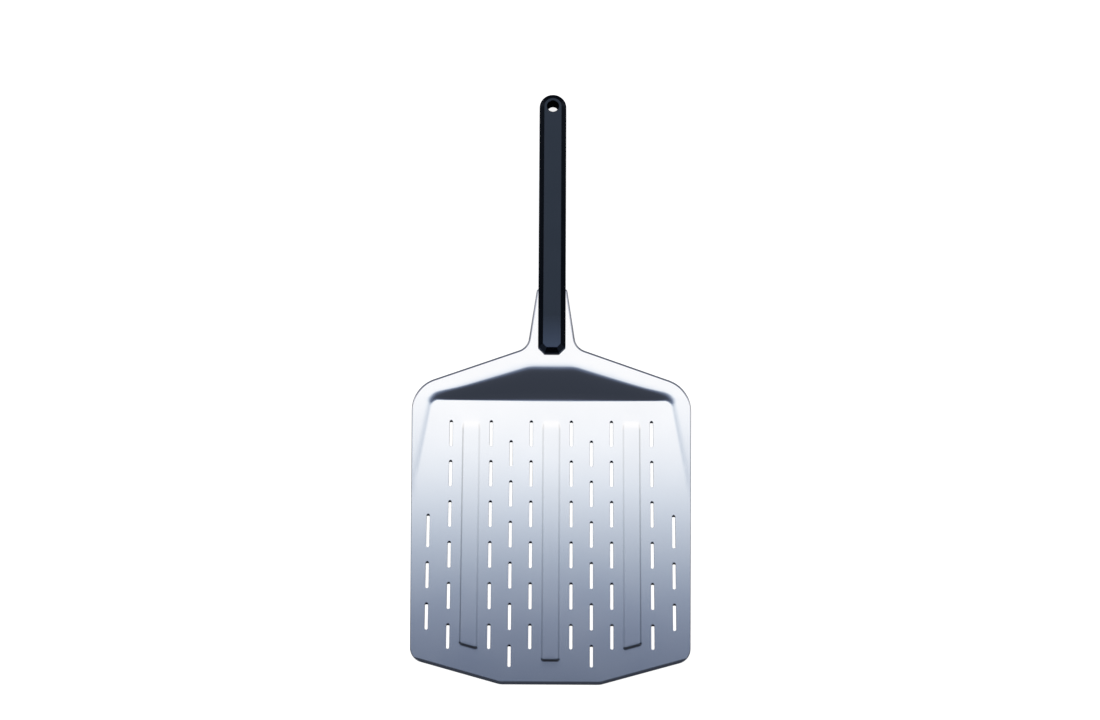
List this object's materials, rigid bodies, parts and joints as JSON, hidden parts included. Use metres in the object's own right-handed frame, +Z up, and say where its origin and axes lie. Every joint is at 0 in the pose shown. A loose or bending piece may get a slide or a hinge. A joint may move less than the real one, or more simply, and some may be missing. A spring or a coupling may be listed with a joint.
{
  "type": "pizza peel",
  "caption": "Perforated sheet-aluminium pizza peel: ribbed deck, stamped ramp up to a raised neck, and a chamfered nylon handle with a hanging hole.",
  "frame": {"origin": "under the middle of the whole length, on the surface that the deck rests on", "axes": "+Y along the handle from the blade's front edge towards the hanging hole, +Z up from the deck's resting face, +X to the right"},
  "size_m": [0.3088, 0.6604, 0.0244],
  "materials": {
    "blade_aluminium": "bead-blasted, clear anodised",
    "handle_nylon": "fine moulded grain",
    "screw_steel": "stainless, plain",
    "insert_brass": "turned and knurled",
    "plug_nylon": "fine moulded grain"
  },
  "bodies": {
    "root": {"peel_blade": "blade_aluminium", "handle_upper_shell": "handle_nylon", "handle_lower_shell": "handle_nylon", "tang_screws": "screw_steel", "tang_washers": "screw_steel", "tang_inserts": "insert_brass", "grip_screws": "screw_steel", "grip_inserts": "insert_brass", "screw_plugs": "plug_nylon"}
  },
  "joints": []
}
